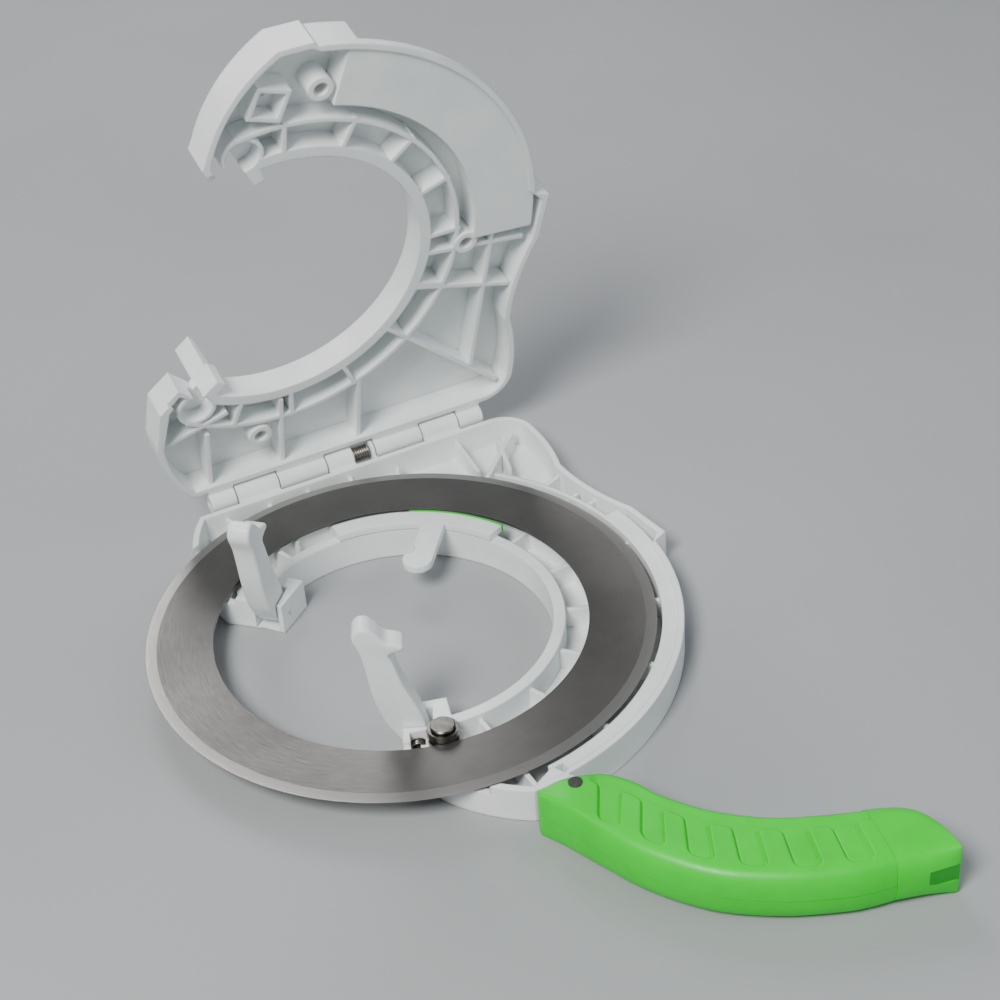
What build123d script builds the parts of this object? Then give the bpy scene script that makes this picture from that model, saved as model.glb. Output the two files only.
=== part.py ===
from build123d import *
from math import atan2, cos, degrees, hypot, radians, sin
import os

os.makedirs("parts", exist_ok=True)

# Driving dimensions in millimetres. The ring axis carries the blade and both housings.
axis_x = -7.15                 # ring axis, from the middle of the footprint
axis_y = 35.98
blade_outer = 85.0             # cutting edge radius
blade_inner = 62.6             # running edge radius
blade_thick = 1.0
blade_z = 11.0                 # middle of the blade above the table
bevel = 3.6                    # width of the ground edge
edge_land = 0.1

hole_radius = 50.8             # open middle of both housings
skin = 2.0                     # floors and outer skins
wall = 2.2                     # side walls
ring_wall = 4.0                # wall round the open middle
rib = 1.6
base_top = 12.4                # parting faces, closed
ring_top = 11.5                # inner wall of the base, where the slide rides
cover_low = 12.9
cover_top = 25.0
cover_ring_low = 14.7
blade_floor = 9.3              # base stays under this where the blade passes
blade_pocket = 86.8
rim_radius = 94.0
panel_inner = 71.0             # panel of the cover beside the cutting edge
panel_start, panel_end = -82.0, -4.5
panel_face = 13.6
panel_thick = 2.2

left_end = 137.3               # angles of the two ends of the C
lower_end = -114.5
base_block = 41.6              # inner radii of the blocks at the two ends
cover_block = 45.0
block_long = 15.3

hinge_y = 95.5
hinge_z = (base_top + cover_low) / 2
knuckle_radius = 4.0
pin_radius = 1.5
pin_fit = 0.06
base_knuckles = ((-22.0, -5.9), (13.7, 24.0), (31.2, 32.5), (52.1, 66.8))
cover_knuckles = ((-32.0, -22.5), (-5.4, 13.2), (33.0, 51.6), (67.3, 77.0))
open_angle = 75.5              # cover as it stands open

roller_turn = 12.6             # rollers stand this many degrees back from the ends
flange_radius = 5.0
groove_radius = 4.2
groove_half = 0.85
roller_offset = blade_inner - groove_radius - 0.3
roller_low, roller_high = 7.9, 14.1
axle_radius = 1.5

lever_low, lever_high = 44.6, 52.4     # radii of the lever's two sides
hub_along, hub_z = -4.5, 5.6
hub_radius = 4.3
lever_pin_radius = 1.3
rest_lean = 17.0

slide_start, slide_end = 27.0, 90.0
slide_low, slide_high = 11.6, 14.2
tab_turn = 52.0                # finger tab of the lock slide

handle_split = 9.2
handle_top = 18.6
arm_high = 8.6
catch_top = 40.6
handle_pin_spot = (9.5, -103.5)
handle_clear = 97.6            # nothing of the handle stands inside this radius


def ring(height):
    return Plane((axis_x, axis_y, height))


def polar(radius, turn):
    return (radius * cos(radians(turn)), radius * sin(radians(turn)))


def end_plane(turn, side, radius):
    """Upright plane at an end of the C: x runs into the gap, y up, z along the radius."""
    out = polar(1.0, turn)
    into = (-side * out[1], side * out[0])
    origin = (axis_x + radius * out[0], axis_y + radius * out[1], 0)
    return Plane(origin, x_dir=(into[0], into[1], 0), z_dir=(side * out[0], side * out[1], 0))


def outline():
    """Plan of both housings, with the two ends of the C on radii."""
    step = polar(rim_radius, panel_end)
    foot = polar(rim_radius, panel_start)
    left = polar(64.0, left_end)
    lower = polar(63.0, lower_end)
    Polyline((0, 0), left, (-49.0, 60.0))
    ThreePointArc((-49.0, 60.0), (-45.4, 76.8), (-37.5, 90.0))
    Line((-37.5, 90.0), (79.0, 90.0))
    ThreePointArc((79.0, 90.0), (87.0, 86.4), (90.4, 79.5))
    ThreePointArc((90.4, 79.5), (90.2, 63.0), (87.6, 50.0))
    ThreePointArc((87.6, 50.0), (89.8, 33.0), (96.6, 14.0))
    Polyline((96.6, 14.0), (99.3, -5.0), step)
    RadiusArc(step, foot, rim_radius)
    Polyline(foot, (12.0, -94.8), (0.0, -94.8))
    ThreePointArc((0.0, -94.8), (-14.6, -81.6), (-24.6, -61.5))
    Polyline((-24.6, -61.5), lower, (0, 0))


def room(block_inner):
    """Hollow of both housings: the outline drawn one wall further in."""
    turn_in = degrees(atan2(wall, hole_radius + ring_wall))
    with BuildLine() as edge:
        Polyline((0, 0), polar(61.6, left_end - turn_in), (-46.7, 60.2))
        ThreePointArc((-46.7, 60.2), (-43.2, 76.2), (-36.6, 87.8))
        Line((-36.6, 87.8), (79.0, 87.8))
        ThreePointArc((79.0, 87.8), (85.5, 85.2), (88.2, 79.4))
        ThreePointArc((88.2, 79.4), (88.0, 63.0), (85.4, 50.2))
        ThreePointArc((85.4, 50.2), (87.7, 32.6), (94.4, 13.4))
        Polyline((94.4, 13.4), (96.8, -3.4), polar(rim_radius - wall, panel_end - 1.2))
        step = polar(rim_radius - wall, panel_end - 1.2)
        foot = polar(rim_radius - wall, panel_start + 1.0)
        RadiusArc(step, foot, rim_radius - wall)
        Polyline(foot, (11.4, -92.6), (0.9, -92.6))
        ThreePointArc((0.9, -92.6), (-12.8, -80.4), (-22.4, -61.2))
        Polyline((-22.4, -61.2), polar(61.6, lower_end + turn_in), (0, 0))
    make_face(edge.edges())
    Circle(hole_radius + ring_wall, mode=Mode.SUBTRACT)
    blocks(block_inner, Mode.SUBTRACT)


def blocks(inner, mode=Mode.ADD):
    """Blocks at the two ends of the C, from the given radius out to the ring wall."""
    outer = hole_radius + ring_wall
    for turn, side in ((left_end, 1), (lower_end, -1)):
        middle = turn - side * degrees(atan2(block_long / 2, (inner + outer) / 2))
        with Locations(Rot(0, 0, middle) * Pos((inner + outer) / 2, 0)):
            Rectangle(outer - inner, block_long, mode=mode)


def plan(block_inner):
    """The C in plan: the outline less the middle, with a block at each end."""
    with BuildLine() as edge:
        outline()
    make_face(edge.edges())
    Circle(hole_radius, mode=Mode.SUBTRACT)
    blocks(block_inner)


def band(inner, outer, start, end):
    """Slice of a ring between two radii and two angles."""
    with BuildLine() as edge:
        CenterArc((0, 0), inner, start, end - start)
        Line(polar(inner, end), polar(outer, end))
        CenterArc((0, 0), outer, start, end - start)
        Line(polar(inner, start), polar(outer, start))
    make_face(edge.edges())


def bar(start, end, thick=rib):
    """Straight rib in plan from one point to another."""
    middle = ((start[0] + end[0]) / 2, (start[1] + end[1]) / 2)
    length = hypot(end[0] - start[0], end[1] - start[1])
    turn = degrees(atan2(end[1] - start[1], end[0] - start[0]))
    with Locations(Pos(middle[0], middle[1]) * Rot(0, 0, turn)):
        Rectangle(length, thick)


def barrel(radius, spans, mode=Mode.ADD):
    """Round bars along the hinge line."""
    for start, end in spans:
        line = Plane((axis_x + start, axis_y + hinge_y, hinge_z), z_dir=(1, 0, 0))
        with BuildSketch(line) as round_end:
            Circle(radius)
        extrude(round_end.sketch, amount=end - start, mode=mode)


def web(spans, low, high):
    """Plates that join the knuckles to the back wall."""
    for start, end in spans:
        with BuildSketch(ring(low)) as plate:
            with Locations(((start + end) / 2, hinge_y - 3.4)):
                Rectangle(end - start, 6.8)
        extrude(plate.sketch, amount=high - low)


roller_spots = (
    polar(roller_offset, left_end - roller_turn),
    polar(roller_offset, lower_end + roller_turn),
)
radial_ribs = (-88.0, -66.0, -44.0, -22.0, 0.0, 22.0, 44.0, 66.0, 88.0, 108.0)

# Base housing: floor, side walls, ribs, end blocks, knuckles and the arm inside the handle.
arm_path = ((6.0, -90.0), (17.0, -110.0), (30.0, -134.0))
with BuildPart() as base_housing:
    with BuildSketch(ring(0)):
        plan(base_block)
    extrude(amount=base_top)
    with BuildSketch(ring(skin)):
        room(base_block)
    extrude(amount=base_top, mode=Mode.SUBTRACT)
    with BuildSketch(ring(skin)):
        for turn in radial_ribs:
            bar(polar(52.0, turn), polar(92.8, turn))
        band(65.0, 66.6, lower_end + 4, left_end - 4)
        bar((47.6, 45.9), (83.9, 81.6))
        bar((78.0, 82.0), (72.3, 60.9))
        bar((63.6, 89.1), (62.0, 66.0))
        bar((20.0, 89.0), (16.0, 62.0))
        bar((-12.0, 89.0), (-12.0, 62.0))
        bar((86.9, 48.4), (70.0, 42.0))
        bar((90.6, 28.0), (74.0, 24.0))
    extrude(amount=blade_floor - skin)
    with BuildSketch(ring(skin)):
        band(blade_pocket, blade_pocket + rib, -84, 42)
        band(blade_pocket, rim_radius - 0.5, -81, 10)
    extrude(amount=ring_top - skin)
    with BuildSketch(ring(blade_floor)):
        Circle(blade_pocket)
        Circle(59.4, mode=Mode.SUBTRACT)
    extrude(amount=base_top, mode=Mode.SUBTRACT)
    with BuildSketch(ring(ring_top)):
        Circle(60.0)
        Circle(30.0, mode=Mode.SUBTRACT)
    extrude(amount=base_top, mode=Mode.SUBTRACT)
    with BuildSketch(ring(skin)):
        with Locations(*roller_spots):
            Circle(flange_radius + 2.4)
    extrude(amount=roller_low - 0.5 - skin)
    with BuildSketch(ring(roller_low - 0.5)):
        with Locations(*roller_spots):
            Circle(flange_radius + 0.8)
    extrude(amount=base_top, mode=Mode.SUBTRACT)
    for turn, side in ((left_end, 1), (lower_end, -1)):
        with BuildSketch(end_plane(turn, side, 0).offset(side * (lever_low - 0.5))):
            with Locations((hub_along + 5.0, hub_z + 10.0)):
                Rectangle(hub_radius * 2 + 11.6, 30.6)
        extrude(amount=side * (lever_high - lever_low + 1.0), mode=Mode.SUBTRACT)
        with BuildSketch(end_plane(turn, side, 0).offset(side * (lever_high + 0.4))):
            with Locations((hub_along, hub_z)):
                Circle(3.0)
        extrude(amount=side * 3.9, mode=Mode.SUBTRACT)
        with BuildSketch(end_plane(turn, side, 0).offset(side * (lever_low - 3.0))):
            with Locations((hub_along, hub_z)):
                Circle(lever_pin_radius + 0.02)
        extrude(amount=side * (lever_high - lever_low + 5.0), mode=Mode.SUBTRACT)
    with BuildSketch(ring(0)):
        with Locations(*roller_spots):
            Circle(axle_radius + 0.02)
    extrude(amount=base_top, mode=Mode.SUBTRACT)
    web(base_knuckles, 5.0, base_top)
    barrel(knuckle_radius, base_knuckles)
    barrel(pin_radius + 0.02, ((-40.0, 84.0),), Mode.SUBTRACT)
    with BuildSketch(ring(skin + 1.5)):
        for start, end in zip(arm_path, arm_path[1:]):
            bar(start, end, 9.0)
    extrude(amount=arm_high)
    with BuildSketch(ring(0)):
        with Locations(handle_pin_spot):
            Circle(2.22)
    extrude(amount=handle_top, mode=Mode.SUBTRACT)
    base_housing.part.label = "base_housing"
export_step(base_housing.part, "parts/base_housing.step")

# Cover housing, modelled closed and then swung open about the hinge line.
hinge_axis = Axis((axis_x, axis_y + hinge_y, hinge_z), (1, 0, 0))
lever_slots = ((left_end, 1, 53.4), (lower_end, -1, 56.4))
boss_spots = ((14.4, -75.6), (68.2, 7.2), (-10.4, 70.5))
with BuildPart() as cover_housing:
    with BuildSketch(ring(cover_low)):
        plan(cover_block)
    extrude(amount=cover_top - cover_low)
    with BuildSketch(ring(cover_low)):
        room(cover_block)
    extrude(amount=cover_top - skin - cover_low, mode=Mode.SUBTRACT)
    with BuildSketch(ring(cover_low + 1.8)):
        for turn in radial_ribs:
            bar(polar(52.0, turn), polar(66.0, turn))
        bar(polar(52.0, 8.0), polar(92.0, 8.0))
        band(64.0, 65.6, lower_end + 12, left_end - 12)
        bar((47.6, 45.9), (84.9, 82.6))
        bar((50.0, 22.0), (87.0, 34.0))
        bar((79.0, 2.0), (73.5, 70.0))
        bar((28.2, 58.0), (28.2, 89.0))
        bar((-2.0, 56.0), (-2.0, 89.0))
        bar((-30.0, 62.0), (-30.0, 89.0))
        bar((-47.0, 62.0), (-22.0, 54.0))
    extrude(amount=cover_top - 1.0 - cover_low - 1.8)
    with BuildSketch(ring(panel_face)):
        band(panel_inner, rim_radius - 0.5, panel_start + 7, panel_end + 9)
    extrude(amount=cover_top - 0.5 - panel_face)
    with BuildSketch(ring(panel_face + panel_thick)):
        band(panel_inner + wall, rim_radius + 8, panel_start + 9, panel_end - 5)
    extrude(amount=cover_top, mode=Mode.SUBTRACT)
    with BuildSketch(ring(cover_low)):
        Circle(59.4)
        Circle(30.0, mode=Mode.SUBTRACT)
    extrude(amount=cover_ring_low - cover_low, mode=Mode.SUBTRACT)
    with BuildSketch(ring(cover_low + 1.2)):
        with Locations(*boss_spots):
            Circle(4.4)
        with Locations(Pos(-2.9, -74.6) * Rot(0, 0, 20)):
            Rectangle(12.0, 12.0)
    extrude(amount=cover_top - 1.0 - cover_low - 1.2)
    with BuildSketch(ring(roller_high + 0.8)):
        with Locations(*roller_spots):
            Circle(flange_radius + 2.2)
    extrude(amount=cover_top - 1.0 - roller_high - 0.8)
    with BuildSketch(ring(cover_low - 1.0)):
        with Locations(*roller_spots):
            Circle(flange_radius + 0.8)
        with Locations(*boss_spots):
            Circle(2.4)
        with Locations(Pos(-2.9, -74.6) * Rot(0, 0, 20)):
            Rectangle(9.0, 9.0)
    extrude(amount=9.0, mode=Mode.SUBTRACT)
    with BuildSketch(ring(cover_low)):
        with Locations((-2.9, -74.6)):
            Circle(1.3)
    extrude(amount=cover_top, mode=Mode.SUBTRACT)
    for turn, side, outer in lever_slots:
        with BuildSketch(end_plane(turn, side, 0).offset(side * (cover_block - 3))):
            with Locations((-0.4, cover_top)):
                Rectangle(20.2, 30.0)
        extrude(amount=side * (outer - cover_block + 3), mode=Mode.SUBTRACT)
    for turn, side in ((left_end, 1), (lower_end, -1)):
        with BuildSketch(end_plane(turn, side, 0).offset(side * (lever_low + 0.4))):
            with BuildLine():
                Polyline((-10.7, cover_top - 1.0), (-14.9, cover_top - 1.0), (-14.9, cover_top + 3.0),
                         (-13.6, catch_top), (-10.7, catch_top), (-10.7, cover_top - 1.0))
            make_face()
        extrude(amount=side * (lever_high - lever_low - 0.8))
    web(cover_knuckles, cover_low, cover_low + 6.0)
    barrel(knuckle_radius, cover_knuckles)
    barrel(pin_radius + pin_fit, ((-40.0, 84.0),), Mode.SUBTRACT)
cover_open = cover_housing.part.rotate(hinge_axis, -open_angle)
cover_open.label = "cover_housing"
export_step(cover_open, "parts/cover_housing.step")

# Hinge pin and the spring wound on it.
with BuildPart() as hinge_pin:
    barrel(pin_radius, ((-31.5, 76.5),))
    hinge_pin.part.label = "hinge_pin"
export_step(hinge_pin.part, "parts/hinge_pin.step")

spring_wire = 0.45
spring_coils = 7
with BuildPart() as hinge_spring:
    for coil in range(spring_coils):
        middle = axis_x + 24.4 + spring_wire + coil * spring_wire * 1.96
        with BuildSketch(Plane((middle, axis_y + hinge_y, hinge_z))):
            with Locations((0, 2.35)):
                Circle(spring_wire)
        revolve(axis=hinge_axis)
    hinge_spring.part.label = "hinge_spring"
export_step(hinge_spring.part, "parts/hinge_spring.step")

# Blade: a flat ring with a ground edge on both faces.
with BuildPart() as blade_ring:
    with BuildSketch(Plane((axis_x, axis_y, blade_z), x_dir=(1, 0, 0), z_dir=(0, -1, 0))):
        with BuildLine():
            half = blade_thick / 2
            Polyline((blade_inner, -half), (blade_outer - bevel, -half), (blade_outer, -edge_land),
                     (blade_outer, edge_land), (blade_outer - bevel, half), (blade_inner, half),
                     (blade_inner, -half))
        make_face()
    revolve(axis=Axis((axis_x, axis_y, 0), (0, 0, 1)))
    blade_ring.part.label = "blade_ring"
export_step(blade_ring.part, "parts/blade_ring.step")

# Grooved rollers that carry the blade's inner edge, each on a headed axle.
for side_name, spot in zip(("left", "lower"), roller_spots):
    with BuildPart() as roller:
        with BuildSketch(ring(roller_low)):
            with Locations(spot):
                Circle(flange_radius)
        extrude(amount=roller_high - roller_low)
        with BuildSketch(ring(blade_z - groove_half)):
            with Locations(spot):
                Circle(flange_radius + 1)
                Circle(groove_radius, mode=Mode.SUBTRACT)
        extrude(amount=2 * groove_half, mode=Mode.SUBTRACT)
        with BuildSketch(ring(roller_low)):
            with Locations(spot):
                Circle(axle_radius + pin_fit)
        extrude(amount=roller_high, mode=Mode.SUBTRACT)
        roller.part.label = side_name + "_roller"
    export_step(roller.part, "parts/" + side_name + "_roller.step")
    with BuildPart() as axle:
        with BuildSketch(ring(0.4)):
            with Locations(spot):
                Circle(axle_radius)
        extrude(amount=roller_high + 0.4)
        with BuildSketch(ring(roller_high + 0.3)):
            with Locations(spot):
                Circle(4.0)
        extrude(amount=1.0)
        chamfer(axle.faces().sort_by(Axis.Z)[-1].edges(), 0.3)
        axle.part.label = side_name + "_axle"
    export_step(axle.part, "parts/" + side_name + "_axle.step")

# Latch levers at the two ends of the C, leaning into the gap, each with its pin and spring.
for side_name, turn, side in (("left", left_end, 1), ("lower", lower_end, -1)):
    face = end_plane(turn, side, 0)
    with BuildPart() as lever:
        with BuildSketch(face.offset(side * lever_low)):
            with BuildLine():
                Line((-8.8, hub_z), (-9.6, 15.0))
                Spline((-9.6, 15.0), (-8.2, 27.0), (-8.8, 41.4))
                Line((-8.8, 41.4), (-13.6, 41.0))
                Line((-13.6, 41.0), (-14.2, 43.4))
                ThreePointArc((-14.2, 43.4), (-10.2, 45.6), (-8.2, 50.0))
                ThreePointArc((-8.2, 50.0), (-4.2, 54.0), (-0.2, 50.0))
                Spline((-0.2, 50.0), (-1.6, 36.0), (0.2, 18.0), (-0.2, hub_z))
                ThreePointArc((-0.2, hub_z), (hub_along, hub_z - hub_radius), (-8.8, hub_z))
            make_face()
        extrude(amount=side * (lever_high - lever_low))
        with BuildSketch(face.offset(side * (lever_low + 1.6))):
            with BuildLine():
                Polyline((-3.6, 14.0), (-4.4, 30.0), (-3.2, 46.0), (6.0, 46.0), (6.0, 14.0), (-3.6, 14.0))
            make_face()
        extrude(amount=side * (lever_high - lever_low - 3.2), mode=Mode.SUBTRACT)
        with BuildSketch(face.offset(side * (lever_low - 1))):
            with Locations((hub_along, hub_z)):
                Circle(lever_pin_radius + pin_fit)
        extrude(amount=side * (lever_high - lever_low + 2), mode=Mode.SUBTRACT)
    hub = face.from_local_coords((hub_along, hub_z, 0))
    lever_axis = Axis(hub, face.z_dir)
    leaned = lever.part.rotate(lever_axis, -rest_lean)
    leaned.label = side_name + "_lever"
    export_step(leaned, "parts/" + side_name + "_lever.step")
    with BuildPart() as lever_pin:
        with BuildSketch(face.offset(side * (lever_low - 2.6))):
            with Locations((hub_along, hub_z)):
                Circle(lever_pin_radius)
        extrude(amount=side * (lever_high - lever_low + 6.6))
        lever_pin.part.label = side_name + "_lever_pin"
    export_step(lever_pin.part, "parts/" + side_name + "_lever_pin.step")

    with BuildPart() as lever_spring:
        for coil in range(4):
            with BuildSketch(face.offset(side * (lever_high + 0.95 + coil * 0.78))):
                with Locations((hub_along, hub_z)):
                    Circle(2.6)
                    Circle(1.9, mode=Mode.SUBTRACT)
            extrude(amount=side * 0.7)
        lever_spring.part.label = side_name + "_lever_spring"
    export_step(lever_spring.part, "parts/" + side_name + "_lever_spring.step")

# Lock slide on top of the inner wall, with its finger tab and coloured outer band.
with BuildPart() as lock_slide:
    with BuildSketch(ring(slide_low)):
        band(hole_radius - 0.2, 57.4, slide_start, slide_end)
        with Locations(Rot(0, 0, tab_turn) * Pos(41.0, 0)):
            Rectangle(21.0, 8.4)
        with Locations(polar(30.6, tab_turn + 2)):
            Circle(5.2)
        with Locations(polar(36.0, tab_turn + 9)):
            Circle(2.6, mode=Mode.SUBTRACT)
    extrude(amount=slide_high - slide_low)
    lock_slide.part.label = "lock_slide"
export_step(lock_slide.part, "parts/lock_slide.step")

with BuildPart() as slide_band:
    with BuildSketch(ring(slide_low)):
        band(57.4, 58.3, slide_start, 62.0)
    extrude(amount=slide_high - slide_low)
    slide_band.part.label = "slide_band"
export_step(slide_band.part, "parts/slide_band.step")


def handle_plan():
    """Curved grip in plan, from its root by the base to the seam of the end cap."""
    with BuildLine() as edge:
        Spline((-3.0, -101.6), (6.5, -97.4), (19.8, -101.2), (30.1, -117.7), (52.1, -141.4), (77.0, -153.2))
        Line((77.0, -153.2), (72.0, -178.2))
        Spline((72.0, -178.2), (56.0, -174.6), (40.0, -166.4), (24.6, -155.2), (12.2, -138.4),
               (4.8, -120.7), (-3.0, -101.6))
    make_face(edge.edges())


def inside_handle():
    """Room for the arm of the base."""
    for start, end in zip(arm_path, arm_path[1:]):
        bar(start, end, 9.0)


def clear_of_base():
    """Keep the grip clear of the closed housings."""
    with BuildSketch(ring(-1.0)) as disc:
        Circle(handle_clear)
    extrude(disc.sketch, amount=handle_top + 4, mode=Mode.SUBTRACT)


# Handle shells, split level, closed over the arm.
with BuildPart() as handle_lower:
    with BuildSketch(ring(0)):
        handle_plan()
    extrude(amount=handle_split)
    clear_of_base()
    fillet(handle_lower.faces().sort_by(Axis.Z)[0].edges(), 2.0)
    with BuildSketch(ring(skin + 1.5)):
        inside_handle()
    extrude(amount=arm_high, mode=Mode.SUBTRACT)
    with BuildSketch(ring(0)):
        with Locations(handle_pin_spot):
            Circle(2.22)
    extrude(amount=handle_top, mode=Mode.SUBTRACT)
    handle_lower.part.label = "handle_lower"
export_step(handle_lower.part, "parts/handle_lower.step")

slot_middles = ((12.0, -110.0), (21.5, -124.5), (33.0, -137.5), (45.5, -148.0), (58.5, -156.5))
with BuildPart() as handle_upper:
    with BuildSketch(ring(handle_split)):
        handle_plan()
    extrude(amount=handle_top - handle_split)
    clear_of_base()
    fillet(handle_upper.faces().sort_by(Axis.Z)[-1].edges(), 3.2)
    with BuildSketch(ring(handle_top - 0.9)):
        for index, middle in enumerate(slot_middles):
            with Locations(Pos(middle[0], middle[1]) * Rot(0, 0, 30.0 + 9.0 * index)):
                SlotOverall(14.0, 6.0)
    extrude(amount=2.0, mode=Mode.SUBTRACT)
    with BuildSketch(ring(skin + 1.5)):
        inside_handle()
    extrude(amount=arm_high, mode=Mode.SUBTRACT)
    with BuildSketch(ring(0)):
        with Locations(handle_pin_spot):
            Circle(2.22)
    extrude(amount=handle_top + 1, mode=Mode.SUBTRACT)
    handle_upper.part.label = "handle_upper"
export_step(handle_upper.part, "parts/handle_upper.step")

# Cross pin at the root of the grip.
with BuildPart() as handle_pin:
    with BuildSketch(ring(1.0)):
        with Locations(handle_pin_spot):
            Circle(2.2)
    extrude(amount=handle_top - 0.6)
    handle_pin.part.label = "handle_pin"
export_step(handle_pin.part, "parts/handle_pin.step")

# End cap with the fork slot at its tip.
with BuildPart() as handle_cap:
    with BuildSketch(ring(0)):
        with BuildLine():
            Line((72.0, -178.2), (77.0, -153.2))
            ThreePointArc((77.0, -153.2), (91.2, -163.6), (91.6, -182.4))
            Line((91.6, -182.4), (72.0, -178.2))
        make_face()
    extrude(amount=handle_top)
    fillet(handle_cap.edges().filter_by(Axis.Z).sort_by(Axis.X)[-1], 3.0)
    chamfer(handle_cap.edges().group_by(Axis.Z)[0], 1.5)
    chamfer(handle_cap.edges().group_by(Axis.Z)[-1], 2.0)
    with BuildSketch(ring(6.0)):
        with Locations(Pos(91.0, -175.0) * Rot(0, 0, 8)):
            SlotOverall(14.0, 4.0)
    extrude(amount=5.0, mode=Mode.SUBTRACT)
    handle_cap.part.label = "handle_cap"
export_step(handle_cap.part, "parts/handle_cap.step")
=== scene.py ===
import bpy
import numpy as np
from mathutils import Matrix, Vector


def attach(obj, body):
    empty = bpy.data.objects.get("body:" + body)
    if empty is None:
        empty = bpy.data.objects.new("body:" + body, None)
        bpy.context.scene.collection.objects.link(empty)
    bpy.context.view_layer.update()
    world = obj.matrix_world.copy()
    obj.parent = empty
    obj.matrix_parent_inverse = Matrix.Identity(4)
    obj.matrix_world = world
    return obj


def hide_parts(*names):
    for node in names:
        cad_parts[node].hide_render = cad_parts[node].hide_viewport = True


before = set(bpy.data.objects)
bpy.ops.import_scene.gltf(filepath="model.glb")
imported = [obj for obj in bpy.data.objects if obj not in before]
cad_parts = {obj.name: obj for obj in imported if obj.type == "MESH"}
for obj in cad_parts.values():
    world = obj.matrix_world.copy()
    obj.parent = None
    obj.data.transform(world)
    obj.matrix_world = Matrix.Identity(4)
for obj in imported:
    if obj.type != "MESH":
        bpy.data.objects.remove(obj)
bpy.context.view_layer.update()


print("stage: frame loaded")

mm = 0.001
ringAxis = (-7.15, 35.98)  # plan place of the axis that the blade and both housings share, in mm
bladeHeight = 11.0  # middle plane of the blade above the table, in mm
bladeOuter = 85.0


def hexColour(code, alpha=1.0):
    raw = np.array([int(code[i:i + 2], 16) / 255 for i in (1, 3, 5)])
    linear = np.where(raw <= 0.04045, raw / 12.92, ((raw + 0.055) / 1.055) ** 2.4)
    return (*[float(value) for value in linear], alpha)


def addNode(tree, kind, inputs=None, **settings):
    node = tree.nodes.new(kind)
    for key, value in settings.items():
        setattr(node, key, value)
    for key, value in (inputs or {}).items():
        if isinstance(value, bpy.types.NodeSocket):
            tree.links.new(value, node.inputs[key])
        else:
            node.inputs[key].default_value = value
    return node


def newMaterial(name):
    material = bpy.data.materials.new(name)
    material.use_nodes = True
    tree = material.node_tree
    tree.nodes.clear()
    shader = addNode(tree, "ShaderNodeBsdfPrincipled")
    output = addNode(tree, "ShaderNodeOutputMaterial", {"Surface": shader.outputs[0]})
    output.location = (300, 0)
    place = addNode(tree, "ShaderNodeTexCoord").outputs["Object"]
    return material, tree, shader, place


def noiseAt(tree, vector, perMillimetre, detail=4.0, roughness=0.55):
    return addNode(tree, "ShaderNodeTexNoise", {"Vector": vector, "Scale": perMillimetre / mm,
                                                "Detail": detail, "Roughness": roughness}).outputs["Fac"]


def spread(tree, value, low, high, fromLow=0.3, fromHigh=0.7):
    return addNode(tree, "ShaderNodeMapRange", {"Value": value, "From Min": fromLow, "From Max": fromHigh,
                                                "To Min": low, "To Max": high}).outputs["Result"]


def blendColour(tree, factor, first, second):
    node = addNode(tree, "ShaderNodeMix", data_type="RGBA")
    for index, value in ((0, factor), (6, first), (7, second)):
        if isinstance(value, bpy.types.NodeSocket):
            tree.links.new(value, node.inputs[index])
        else:
            node.inputs[index].default_value = value
    return node.outputs[2]


def mouldedPlastic(name, settings):
    material, tree, shader, place = newMaterial(name)
    cloud = noiseAt(tree, place, settings["cloudPerMm"], 3.0)
    grain = noiseAt(tree, place, settings["grainPerMm"], 2.0)
    scuff = noiseAt(tree, place, settings["scuffPerMm"], 8.0, 0.7)
    colour = blendColour(tree, spread(tree, cloud, 0.0, 1.0), hexColour(settings["light"]),
                         hexColour(settings["dark"]))
    tree.links.new(colour, shader.inputs["Base Color"])
    tree.links.new(spread(tree, scuff, settings["smooth"], settings["rough"]), shader.inputs["Roughness"])
    shader.inputs["IOR"].default_value = 1.49
    shader.inputs["Subsurface Weight"].default_value = settings["glow"]
    shader.inputs["Subsurface Radius"].default_value = settings["glowRadius"]
    shader.inputs["Subsurface Scale"].default_value = 1.2 * mm
    rounded = addNode(tree, "ShaderNodeBevel", {"Radius": settings["edgeMm"] * mm}, samples=4)
    bump = addNode(tree, "ShaderNodeBump", {"Strength": settings["bump"], "Distance": 0.03 * mm,
                                            "Height": grain, "Normal": rounded.outputs[0]})
    tree.links.new(bump.outputs[0], shader.inputs["Normal"])
    return material


# White acetal plastic: the bright, slightly see-through satin look of the housings and levers.
whitePlastic = mouldedPlastic("acetalPlasticWhite", {
    "light": "#F1F4F4", "dark": "#E3E9EA", "cloudPerMm": 0.05, "grainPerMm": 3.0, "scuffPerMm": 0.4,
    "smooth": 0.30, "rough": 0.46, "glow": 0.15, "glowRadius": (1.0, 0.95, 0.9),
    "edgeMm": 0.8, "bump": 0.25})
# Green polypropylene: the strong soft-sheen green of the grip, with a fine eroded grain.
greenPlastic = mouldedPlastic("polypropyleneGreen", {
    "light": "#00D81A", "dark": "#00CC16", "cloudPerMm": 0.08, "grainPerMm": 4.0, "scuffPerMm": 0.6,
    "smooth": 0.34, "rough": 0.48, "glow": 0.06, "glowRadius": (0.3, 1.0, 0.3),
    "edgeMm": 0.35, "bump": 0.5})


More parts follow.
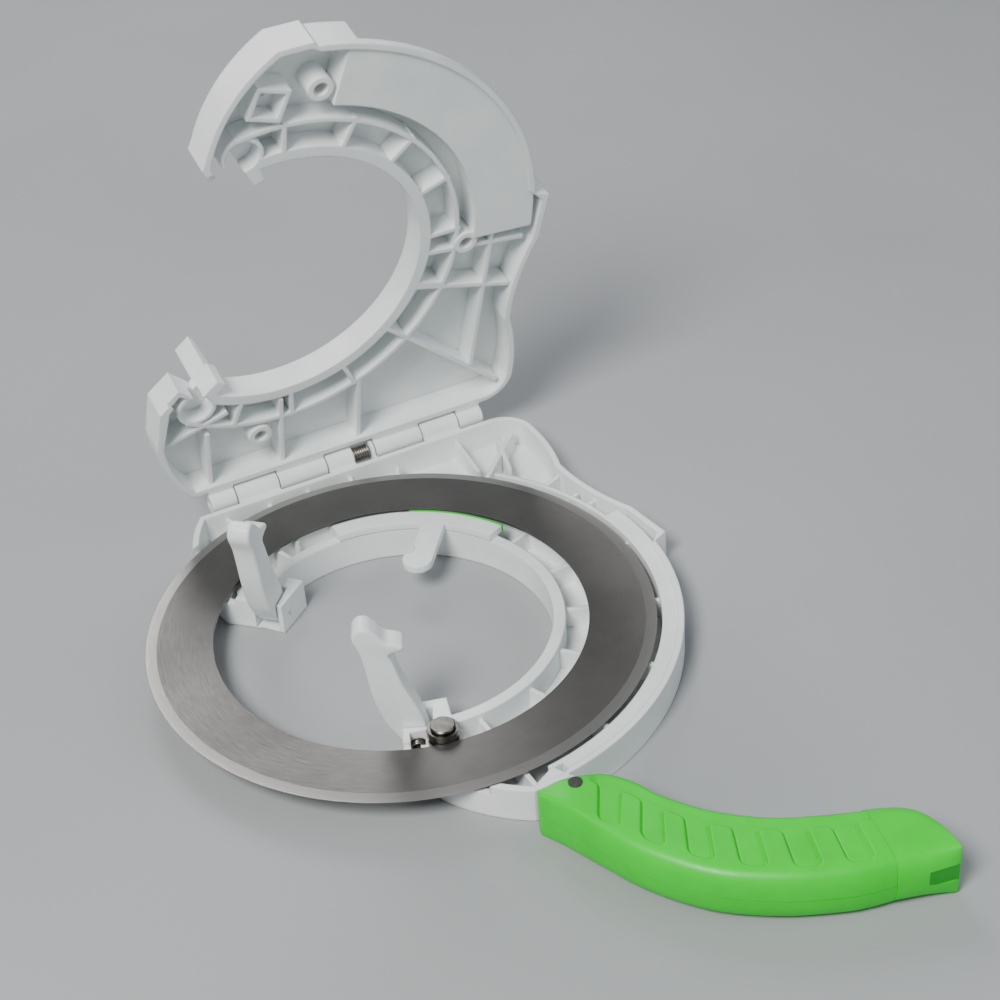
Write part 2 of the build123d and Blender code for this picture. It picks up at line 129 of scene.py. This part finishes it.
def turnedSteel(name, settings):
    material, tree, shader, place = newMaterial(name)
    haze = noiseAt(tree, place, settings["hazePerMm"], 5.0)
    lines = noiseAt(tree, place, settings["linePerMm"], 2.0)
    colour = blendColour(tree, spread(tree, haze, 0.0, 1.0), hexColour(settings["light"]),
                         hexColour(settings["dark"]))
    tree.links.new(colour, shader.inputs["Base Color"])
    shader.inputs["Metallic"].default_value = 1.0
    tree.links.new(spread(tree, lines, settings["smooth"], settings["rough"]), shader.inputs["Roughness"])
    rounded = addNode(tree, "ShaderNodeBevel", {"Radius": 0.15 * mm}, samples=4)
    bump = addNode(tree, "ShaderNodeBump", {"Strength": 0.2, "Distance": 0.01 * mm, "Height": lines,
                                            "Normal": rounded.outputs[0]})
    tree.links.new(bump.outputs[0], shader.inputs["Normal"])
    return material


# Blackened steel: the dark round axle heads and the hinge and lever pins.
pinSteel = turnedSteel("blackenedSteel", {"light": "#767470", "dark": "#565450", "hazePerMm": 0.4,
                                          "linePerMm": 5.0, "smooth": 0.24, "rough": 0.4})
# Music wire: the small bright coils at the hinge and the lever feet.
wireSteel = turnedSteel("musicWire", {"light": "#B5B0A6", "dark": "#8F8A80", "hazePerMm": 1.0,
                                      "linePerMm": 6.0, "smooth": 0.2, "rough": 0.36})


def groundSteel(name, settings):
    # The distance from the ring axis drives circular grinding on the flat and a smoother ground edge, whose
    # lighter colour is a painted highlight.
    material, tree, shader, place = newMaterial(name)
    centre = (ringAxis[0] * mm, ringAxis[1] * mm, bladeHeight * mm)
    fromAxis = addNode(tree, "ShaderNodeVectorMath", {0: place, 1: centre}, operation="SUBTRACT").outputs[0]
    parts = addNode(tree, "ShaderNodeSeparateXYZ", {0: fromAxis})
    flat = addNode(tree, "ShaderNodeCombineXYZ", {0: parts.outputs[0], 1: parts.outputs[1]}).outputs[0]
    radius = addNode(tree, "ShaderNodeVectorMath", {0: flat}, operation="LENGTH").outputs["Value"]
    turn = addNode(tree, "ShaderNodeMath", {0: parts.outputs[1], 1: parts.outputs[0]},
                   operation="ARCTAN2").outputs[0]
    slowTurn = addNode(tree, "ShaderNodeMath", {0: turn, 1: settings["turnStretch"] * mm},
                       operation="MULTIPLY").outputs[0]
    polarPlace = addNode(tree, "ShaderNodeCombineXYZ", {0: radius, 1: slowTurn}).outputs[0]
    grind = noiseAt(tree, polarPlace, settings["grindPerMm"], 6.0, 0.65)
    smear = noiseAt(tree, place, settings["smearPerMm"], 5.0, 0.6)
    bevelStart = bladeOuter - settings["bevelMm"]
    onBevel = spread(tree, radius, 0.0, 1.0, (bevelStart - settings["blurMm"]) * mm,
                     (bevelStart + settings["blurMm"]) * mm)
    body = blendColour(tree, spread(tree, smear, 0.0, 1.0), hexColour(settings["light"]),
                       hexColour(settings["dark"]))
    # The lighter edge colour on the bevel is a painted highlight. The smoother grinding there comes from the
    # roughness.
    colour = blendColour(tree, onBevel, body, hexColour(settings["edge"]))
    tree.links.new(colour, shader.inputs["Base Color"])
    shader.inputs["Metallic"].default_value = 1.0
    rough = spread(tree, grind, settings["smooth"], settings["rough"])
    edgeShine = addNode(tree, "ShaderNodeMath", {0: onBevel, 1: settings["edgeShine"]},
                        operation="MULTIPLY").outputs[0]
    total = addNode(tree, "ShaderNodeMath", {0: rough, 1: edgeShine}, operation="SUBTRACT").outputs[0]
    tree.links.new(total, shader.inputs["Roughness"])
    shader.inputs["Anisotropic"].default_value = settings["brushed"]
    bump = addNode(tree, "ShaderNodeBump", {"Strength": 0.25, "Distance": 0.01 * mm, "Height": grind})
    tree.links.new(bump.outputs[0], shader.inputs["Normal"])
    return material


# Ground carbon steel: the plain grey satin of the blade, and on its ground edge a lighter colour that paints
# the thin light line of that edge as a highlight.
bladeSteel = groundSteel("groundCarbonSteel", {
    "light": "#807E7C", "dark": "#706E6C", "edge": "#ABA9A6", "bevelMm": 3.6, "blurMm": 0.15,
    "turnStretch": 4.0, "grindPerMm": 2.5, "smearPerMm": 0.03, "smooth": 0.46, "rough": 0.60,
    "edgeShine": 0.08, "brushed": 0.12})

nodeMaterials = {
    "base_housing": whitePlastic, "cover_housing": whitePlastic, "left_lever": whitePlastic,
    "lower_lever": whitePlastic, "lock_slide": whitePlastic, "slide_band": greenPlastic,
    "left_roller": pinSteel, "lower_roller": pinSteel, "left_axle": pinSteel, "lower_axle": pinSteel,
    "hinge_pin": pinSteel, "left_lever_pin": pinSteel, "lower_lever_pin": pinSteel, "handle_pin": pinSteel}
for nodeName, material in nodeMaterials.items():
    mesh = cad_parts[nodeName].data
    mesh.materials.clear()
    mesh.materials.append(material)
print("stage: materials on the CAD nodes")


def gridPiece(name, points, closeRows, closeColumns, material, capEnds=False, sharpDegrees=40.0):
    # Rows run along the surface and columns round it; each cell of the grid becomes one quad.
    rows, columns = points.shape[:2]
    rowStart = np.arange(rows if closeRows else rows - 1)
    columnStart = np.arange(columns if closeColumns else columns - 1)
    r, c = [a.ravel() for a in np.meshgrid(rowStart, columnStart, indexing="ij")]
    nextRow, nextColumn = (r + 1) % rows, (c + 1) % columns
    quads = np.stack([r * columns + c, nextRow * columns + c, nextRow * columns + nextColumn,
                      r * columns + nextColumn], axis=1)
    faces = quads.tolist()
    if capEnds:
        faces.append(np.arange(columns).tolist())
        faces.append(((rows - 1) * columns + np.arange(columns)[::-1]).tolist())
    mesh = bpy.data.meshes.new(name)
    mesh.from_pydata((points.reshape(-1, 3) * mm).tolist(), [], faces)
    mesh.update()
    mesh.materials.append(material)
    piece = bpy.data.objects.new(name, mesh)
    bpy.context.scene.collection.objects.link(piece)
    orientOutward(mesh)
    mesh.shade_smooth()
    mesh.set_sharp_from_angle(angle=np.radians(sharpDegrees))
    return piece


def orientOutward(mesh):
    # Signed volume: the sum over faces of centre dot normal times area is negative when inside out.
    count = len(mesh.polygons)
    centres, normals, areas = np.zeros(count * 3), np.zeros(count * 3), np.zeros(count)
    mesh.polygons.foreach_get("center", centres)
    mesh.polygons.foreach_get("normal", normals)
    mesh.polygons.foreach_get("area", areas)
    middle = centres.reshape(-1, 3) - centres.reshape(-1, 3).mean(0)
    if np.sum(np.sum(middle * normals.reshape(-1, 3), axis=1) * areas) < 0:
        mesh.flip_normals()


def finishPiece(piece, body, slotName, *nodeNames):
    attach(piece, body)
    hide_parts(*nodeNames)


def smoothStep(value):
    clipped = np.clip(value, 0.0, 1.0)
    return clipped * clipped * (3 - 2 * clipped)


def smoothCurve(knots, count, closed=False):
    # Evenly stepped points, by arc length, on the curve through the knots whose slope at each knot is half
    # the step between its two neighbours.
    p = np.array(knots, float)
    if closed:
        line = np.vstack([p[-1:], p, p[:2]])
    else:
        line = np.vstack([2 * p[:1] - p[1:2], p, 2 * p[-1:] - p[-2:-1]])
    t = np.linspace(0, 1, 40 if closed else 60, endpoint=False)[:, None]
    pieces = [0.5 * (2 * b + (c - a) * t + (2 * a - 5 * b + 4 * c - d) * t ** 2
                     + (3 * b - a - 3 * c + d) * t ** 3)
              for a, b, c, d in zip(line, line[1:], line[2:], line[3:])]
    dense = np.vstack([*pieces, p[:1] if closed else p[-1:]])
    along = np.concatenate([[0], np.cumsum(np.linalg.norm(np.diff(dense, axis=0), axis=1))])
    want = np.linspace(0, along[-1], count, endpoint=not closed)
    return np.stack([np.interp(want, along, dense[:, k]) for k in range(2)], axis=1)


bladeSettings = {"inner": 62.6, "outer": bladeOuter, "half": 0.5, "bevel": 3.6, "bevelSteps": 10,
                 "hollow": 1.15, "land": 0.05, "soft": 0.12, "flatEdge": 6.0, "turns": 720}


def makeBlade(settings):
    # A closed outline of radius and height turned about the ring axis. The ground edge falls as
    # height = land + (half - land) * (1 - step) ** hollow, with step running 0 to 1 across the bevel.
    inner, outer, half, soft = (settings[key] for key in ("inner", "outer", "half", "soft"))
    step = np.linspace(0, 1, settings["bevelSteps"])
    bevelRadius = outer - settings["bevel"] + settings["bevel"] * step
    bevelHeight = settings["land"] + (half - settings["land"]) * (1 - step) ** settings["hollow"]
    top = np.array([[inner, half - soft], [inner + soft * 0.3, half - soft * 0.3], [inner + soft, half],
                    [inner + settings["flatEdge"], half],
                    [outer - settings["bevel"] - settings["flatEdge"], half],
                    *np.stack([bevelRadius, bevelHeight], axis=1)])
    outline = np.vstack([top, top[::-1] * [1, -1]])
    turn = np.linspace(0, 2 * np.pi, settings["turns"], endpoint=False)[:, None]
    x = ringAxis[0] + outline[None, :, 0] * np.cos(turn)
    y = ringAxis[1] + outline[None, :, 0] * np.sin(turn)
    z = bladeHeight + outline[None, :, 1] + 0 * turn
    return gridPiece("ringBlade", np.stack([x, y, z], axis=2), True, True, bladeSteel, sharpDegrees=6.0)


finishPiece(makeBlade(bladeSettings), "blade", "blade_steel", "blade_ring")
print("stage: blade")


def coilPoints(settings):
    # A helix about local z, angle = 2 pi * step and height = pitch * step, with a straight leg at each end.
    # A circle of the wire's radius is carried along it, on the two directions square to the path.
    steps = np.linspace(0, settings["coils"], int(settings["coils"] * settings["perTurn"]))
    angle = 2 * np.pi * steps
    line = np.stack([settings["radius"] * np.cos(angle), settings["radius"] * np.sin(angle),
                     settings["pitch"] * steps], axis=1)
    gap, legSteps = settings["legGap"], settings["legSteps"]
    startLeg = line[0] + np.linspace(settings["startLeg"], gap, legSteps)[:, None] * [0, -1, 0]
    tangent = (line[-1] - line[-2]) / np.linalg.norm(line[-1] - line[-2])
    endLeg = line[-1] + np.linspace(gap, settings["endLeg"], legSteps)[:, None] * tangent
    line = np.vstack([startLeg, line, endLeg])
    along = np.gradient(line, axis=0)
    along /= np.linalg.norm(along, axis=1, keepdims=True)
    side = np.cross(along, [0, 0, 1.0])
    side /= np.linalg.norm(side, axis=1, keepdims=True)
    up = np.cross(side, along)
    around = np.linspace(0, 2 * np.pi, settings["wireSides"], endpoint=False)[None, :, None]
    return line[:, None] + settings["wire"] * (np.cos(around) * side[:, None] + np.sin(around) * up[:, None])


def placeAlong(points, origin, axis, first):
    # Turns local x to the given first direction and local z to the axis, then moves to the origin.
    axis = np.array(axis, float) / np.linalg.norm(axis)
    first = np.array(first, float) - axis * np.dot(first, axis)
    first /= np.linalg.norm(first)
    return np.array(origin) + points @ np.stack([first, np.cross(axis, first), axis])


hingeSpringSettings = {"radius": 2.5, "pitch": 0.92, "coils": 6.5, "wire": 0.4, "startLeg": 7.0,
                       "endLeg": 9.0, "legGap": 0.05, "legSteps": 8, "perTurn": 40, "wireSides": 12}
hingeSpringStart = (ringAxis[0] + 24.6, ringAxis[1] + 95.5, 12.65)
hingePoints = placeAlong(coilPoints(hingeSpringSettings), hingeSpringStart, (1, 0, 0), (0, 0.2, 1))
finishPiece(gridPiece("hingeCoil", hingePoints, False, True, wireSteel, True), "base", "spring_steel",
            "hinge_spring")

# Each latch stands at an end of the base ring: its side name, the turn of that end, and which way it faces.
latchEnds = (("left", 137.3, 1), ("lower", -114.5, -1))
latchHub = (-4.5, 5.6)  # the lever pin past the ring's end and above the table, in mm


def latchDirections(endTurn, side):
    out = np.array([np.cos(np.radians(endTurn)), np.sin(np.radians(endTurn)), 0])
    return out, side * np.array([-out[1], out[0], 0])


leverSpringSettings = {"radius": 2.25, "pitch": 0.72, "coils": 4.2, "wire": 0.3, "startLeg": 3.0,
                       "endLeg": 3.0, "legGap": 0.05, "legSteps": 8, "perTurn": 40, "wireSides": 12}
leverSpringReach = 53.5  # from the ring axis to the start of the coil, in mm
for sideName, endTurn, side in latchEnds:
    out, into = latchDirections(endTurn, side)
    hub = np.array([*ringAxis, latchHub[1]]) + into * latchHub[0]
    points = placeAlong(coilPoints(leverSpringSettings), hub + out * leverSpringReach, out, (0, 0, 1))
    finishPiece(gridPiece(sideName + "LeverCoil", points, False, True, wireSteel, True), "base",
                "spring_steel", sideName + "_lever_spring")
print("stage: springs")

leverSettings = {
    "knots": ((-8.6, 5.6), (-9.4, 14.0), (-8.5, 27.0), (-8.8, 36.0), (-8.9, 40.6), (-11.0, 41.2),
              (-13.3, 41.2), (-14.1, 42.6), (-12.4, 44.4), (-9.8, 46.2), (-8.3, 50.0), (-6.6, 53.0),
              (-4.2, 54.0), (-1.9, 53.0), (-0.4, 50.0), (-0.6, 44.0), (0.6, 36.0), (2.3, 26.0),
              (2.6, 16.0), (1.2, 9.4), (-0.4, 5.0), (-2.0, 2.4), (-4.5, 1.5), (-7.0, 2.5)),
    "lean": 17.0, "low": 44.6, "high": 52.4, "round": 1.1, "roundSteps": 6, "around": 260}


def makeLever(settings, sideName, endTurn, side):
    # The lever's side outline carried across its width, from the low to the high distance from the ring
    # axis. Near both flanks it shrinks, inset = round * (1 - sin(turn)), and all of it is leaned about the
    # hub by the rest angle.
    outline = smoothCurve(settings["knots"], settings["around"], closed=True)
    along = np.roll(outline, -1, 0) - np.roll(outline, 1, 0)
    along /= np.linalg.norm(along, axis=1, keepdims=True)
    inward = np.stack([along[:, 1], -along[:, 0]], axis=1)
    turn = np.linspace(0, np.pi / 2, settings["roundSteps"])
    inset = settings["round"] * (1 - np.sin(turn))
    place = settings["low"] + settings["round"] * (1 - np.cos(turn))
    inset = np.concatenate([inset, inset[::-1]])
    place = np.concatenate([place, settings["low"] + settings["high"] - place[::-1]])
    flat = outline[None] + inward[None] * inset[:, None, None] - np.array(latchHub)
    lean = np.radians(settings["lean"])
    x = flat[..., 0] * np.cos(lean) + flat[..., 1] * np.sin(lean) + latchHub[0]
    z = -flat[..., 0] * np.sin(lean) + flat[..., 1] * np.cos(lean) + latchHub[1]
    out, into = latchDirections(endTurn, side)
    points = np.array([*ringAxis, 0]) + out * place[:, None, None] + into * x[..., None]
    points = points + np.array([0, 0, 1]) * z[..., None]
    return gridPiece(sideName + "HookLever", points, False, True, whitePlastic, True, 50.0)


for sideName, endTurn, side in latchEnds:
    finishPiece(makeLever(leverSettings, sideName, endTurn, side), sideName + "_latch", "white_plastic",
                sideName + "_lever")
print("stage: levers")

gripSettings = {
    "concave": ((-1.0, -98.6), (7.5, -98.0), (19.8, -101.2), (26.3, -108.6), (30.4, -117.7), (39.4, -130.4),
                (52.1, -141.4), (65.4, -148.3), (77.0, -153.2)),
    "convex": ((-1.5, -101.5), (1.6, -110.0), (5.2, -120.7), (12.4, -138.0), (24.8, -155.0), (40.6, -166.8),
               (56.5, -174.4), (64.5, -176.9), (72.0, -178.2)),
    "rows": 600, "columns": 136, "underColumns": 30, "split": 9.2, "bottom": 0.0, "top": 18.6,
    "rootDrop": 1.6, "rootReach": 0.12, "seam": 0.18, "squareness": 7, "shoulder": 2.8, "taper": 0.02,
    "length": 118.0, "firstPad": 0.237, "padStep": 0.1365, "waveMiddle": -1.2, "waveReach": 7.6,
    "waveRound": 2.2, "waveDepth": 1.3, "waveSoft": 0.8, "grooveDepth": 0.45, "grooveHalf": 0.4,
    "fadeFrom": 0.55, "fadeTo": 0.97, "rootFade": 0.03, "patternFrom": 0.4}


def gripSections(settings, low, high, upward):
    # Each row is a half section between the concave and convex edges. Across runs -1 to 1, and the
    # height above the seam is (1 - |across| ** squareness) ** (1 / shoulder) of the full height.
    concave = smoothCurve(settings["concave"], settings["rows"])
    convex = smoothCurve(settings["convex"], settings["rows"])
    across = np.cos(np.linspace(0, np.pi, settings["columns"]))
    rise = (1 - np.abs(across) ** settings["squareness"]) ** (1 / settings["shoulder"])
    back = np.linspace(-1, 1, settings["underColumns"])[1:-1] * 0.999  # the flat face at the seam
    across = np.concatenate([across, back])
    rise = np.concatenate([rise, np.zeros(len(back))])
    middle, half = (concave + convex) / 2, (concave - convex) / 2
    width = np.linalg.norm(half, axis=1)
    share = np.linspace(0, 1, settings["rows"])
    pullIn = 1 - settings["taper"] * rise[None, :, None]
    plan = middle[:, None] + half[:, None] * across[None, :, None] * pullIn
    if upward:
        crown = settings["top"] - settings["rootDrop"] * (1 - smoothStep(share / settings["rootReach"]))
        height = low + (crown[:, None] - low) * rise[None, :]
    else:
        height = high + (low - high) * rise[None, :] + 0 * share[:, None]
    return plan, height, across, rise, width, share


def roundBox(rounding, first, second):
    # Distance inside a box with a round corner, from the two distances past its corner's centre.
    outside = np.hypot(np.maximum(first, 0), np.maximum(second, 0))
    return rounding - outside - np.minimum(np.maximum(first, second), 0)


def fingerPattern(settings, across, rise, width, share):
    # A square wave with round corners runs along the grip. Folded about each hollow's middle, its lower
    # corner is a round box and its upper corner is the same box turned over. The drop is a soft step of
    # the distance with a groove along it, depth * exp(-(distance / half width) ** 2).
    step = settings["padStep"] * settings["length"]
    along = (share - settings["firstPad"]) * settings["length"]
    fold = np.abs((along / step + 0.5) % 1 - 0.5)[:, None] * step
    lift = across[None, :] * width[:, None] - settings["waveMiddle"]
    rounding, reach = settings["waveRound"], settings["waveReach"]
    lower = roundBox(rounding, fold - step / 4 + rounding, rounding - reach - lift)
    upper = -roundBox(rounding, step / 4 + rounding - fold, lift - reach + rounding)
    distance = np.where(lift < 0, lower, upper)
    drop = settings["waveDepth"] * smoothStep(distance / settings["waveSoft"] + 0.5)
    drop = drop + settings["grooveDepth"] * np.exp(-(distance / settings["grooveHalf"]) ** 2)
    fade = smoothStep((settings["fadeTo"] - across) / (settings["fadeTo"] - settings["fadeFrom"]))
    start = smoothStep((share - settings["firstPad"] + settings["padStep"] / 2) / settings["rootFade"])
    return drop * fade[None, :] * start[:, None] * (rise[None, :] > settings["patternFrom"])


def makeGrip(settings, upward):
    low = settings["split"] + settings["seam"] / 2 if upward else settings["bottom"]
    high = settings["top"] if upward else settings["split"] - settings["seam"] / 2
    plan, height, across, rise, width, share = gripSections(settings, low, high, upward)
    if upward:
        height = height - fingerPattern(settings, across, rise, width, share)
    points = np.concatenate([plan + np.array(ringAxis), height[:, :, None]], axis=2)
    name = "gripUpper" if upward else "gripLower"
    return gridPiece(name, points, False, True, greenPlastic, True, 35.0)


finishPiece(makeGrip(gripSettings, True), "base", "green_plastic", "handle_upper")
finishPiece(makeGrip(gripSettings, False), "base", "green_plastic", "handle_lower")

capSettings = {
    "concave": ((77.0, -152.4), (81.5, -154.2), (86.6, -157.0), (90.4, -161.0), (92.3, -167.0),
                (92.6, -174.0), (91.4, -180.0)),
    "convex": ((71.9, -178.7), (75.5, -179.6), (79.5, -180.6), (83.0, -181.4), (86.0, -182.0),
               (88.4, -182.4), (90.4, -182.4)),
    "rows": 140, "around": 160, "fine": 400, "squareness": 5, "shoulder": 2.6, "notchShare": 0.5,
    "notchLow": 7.0, "notchHigh": 12.2, "notchSoft": 0.4}


def makeCap(settings, grip):
    # Full sections between two edges, |across| ** squareness + |up| ** shoulder = 1. The points between
    # the two notch heights are held back along the rows, which leaves a fork at the tip.
    fine = settings["fine"]
    concave, convex = smoothCurve(settings["concave"], fine), smoothCurve(settings["convex"], fine)
    angle = np.linspace(0, 2 * np.pi, settings["around"], endpoint=False)
    across = np.sign(np.cos(angle)) * np.abs(np.cos(angle)) ** 0.5
    rise = (1 - np.abs(across) ** settings["squareness"]) ** (1 / settings["shoulder"])
    up = np.sign(np.sin(angle)) * rise
    half = (grip["top"] - grip["bottom"]) / 2
    height = half + half * up
    share = np.linspace(0, 1, settings["rows"])
    soft = settings["notchSoft"]
    aboveLow = smoothStep((height - settings["notchLow"] + soft) / soft)
    belowHigh = smoothStep((settings["notchHigh"] + soft - height) / soft)
    held = np.minimum(share[:, None], 1 - settings["notchShare"] * (aboveLow * belowHigh)[None, :])
    index = held * (fine - 1)
    a, b = (np.stack([np.interp(index, np.arange(fine), edge[:, k]) for k in range(2)], axis=2)
            for edge in (concave, convex))
    plan = (a + b) / 2 + (a - b) / 2 * across[None, :, None] + np.array(ringAxis)
    z = np.repeat(height[None, :], settings["rows"], axis=0)
    points = np.concatenate([plan, z[:, :, None]], axis=2)
    return gridPiece("gripEndCap", points, False, True, greenPlastic, True, 35.0)


finishPiece(makeCap(capSettings, gripSettings), "base", "green_plastic", "handle_cap")
print("stage: grip")


floorSettings = {"sizeM": 6.0, "dropM": 0.0002, "light": "#A3A6A9", "dark": "#9B9EA1",
                 "mottlePerMm": 0.004, "rough": 0.75}


def makeFloor(settings):
    # Painted board: an even matt grey with a very slow mottle.
    bpy.ops.mesh.primitive_plane_add(size=settings["sizeM"], location=(0, 0, -settings["dropM"]))
    floor = bpy.context.object
    floor.name = "studioFloor"
    material, tree, shader, place = newMaterial("paintedBoardPale")
    mottle = noiseAt(tree, place, settings["mottlePerMm"], 3.0)
    colour = blendColour(tree, spread(tree, mottle, 0.0, 1.0), hexColour(settings["light"]),
                         hexColour(settings["dark"]))
    tree.links.new(colour, shader.inputs["Base Color"])
    shader.inputs["Roughness"].default_value = settings["rough"]
    floor.data.materials.append(material)


makeFloor(floorSettings)

lightSettings = {
    "keyLight": {"place": (-0.7, -0.5, 1.1), "target": (0, 0.03, 0.05), "size": 0.5, "power": 24.0,
                 "colour": "#FFFDF8"},
    "fillLight": {"place": (0.9, -0.7, 0.7), "target": (0, 0.03, 0.05), "size": 0.9, "power": 4.0,
                  "colour": "#F4F8FF"},
    "rimLight": {"place": (0.2, 1.1, 0.9), "target": (0, 0.05, 0.08), "size": 0.6, "power": 8.0,
                 "colour": "#FFFFFF"}}
worldSettings = {"colour": "#DDE2E8", "strength": 0.28}


def addLight(name, settings):
    data = bpy.data.lights.new(name, "AREA")
    data.shape = "DISK"
    data.size = settings["size"]
    data.energy = settings["power"]
    data.color = hexColour(settings["colour"])[:3]
    light = bpy.data.objects.new(name, data)
    bpy.context.scene.collection.objects.link(light)
    light.location = settings["place"]
    toTarget = Vector(settings["target"]) - Vector(settings["place"])
    light.rotation_euler = toTarget.to_track_quat("-Z", "Y").to_euler()


for lightName, settings in lightSettings.items():
    addLight(lightName, settings)
world = bpy.data.worlds.new("studioWorld")
world.use_nodes = True
background = world.node_tree.nodes["Background"]
background.inputs[0].default_value = hexColour(worldSettings["colour"])
background.inputs[1].default_value = worldSettings["strength"]
bpy.context.scene.world = world

# The camera stands in front and above, heading right of +Y, dipped down and rolled a little.
cameraSettings = {"lens": 75.28, "sensor": 36.0, "place": (-199.65, -469.82, 452.7), "heading": 24.634,
                  "dip": 36.152, "roll": -4.316}


def makeCamera(settings):
    data = bpy.data.cameras.new("mainCamera")
    data.lens = settings["lens"]
    data.sensor_width = settings["sensor"]
    data.clip_start = 0.01
    camera = bpy.data.objects.new("mainCamera", data)
    bpy.context.scene.collection.objects.link(camera)
    heading = Matrix.Rotation(-np.radians(settings["heading"]), 4, "Z")
    tilt = Matrix.Rotation(np.radians(90 - settings["dip"]), 4, "X")
    roll = Matrix.Rotation(np.radians(settings["roll"]), 4, "Z")
    spot = Matrix.Translation(Vector(settings["place"]) * mm)
    camera.matrix_world = spot @ heading @ tilt @ roll
    bpy.context.scene.camera = camera


makeCamera(cameraSettings)
print("stage: floor, lights and camera")
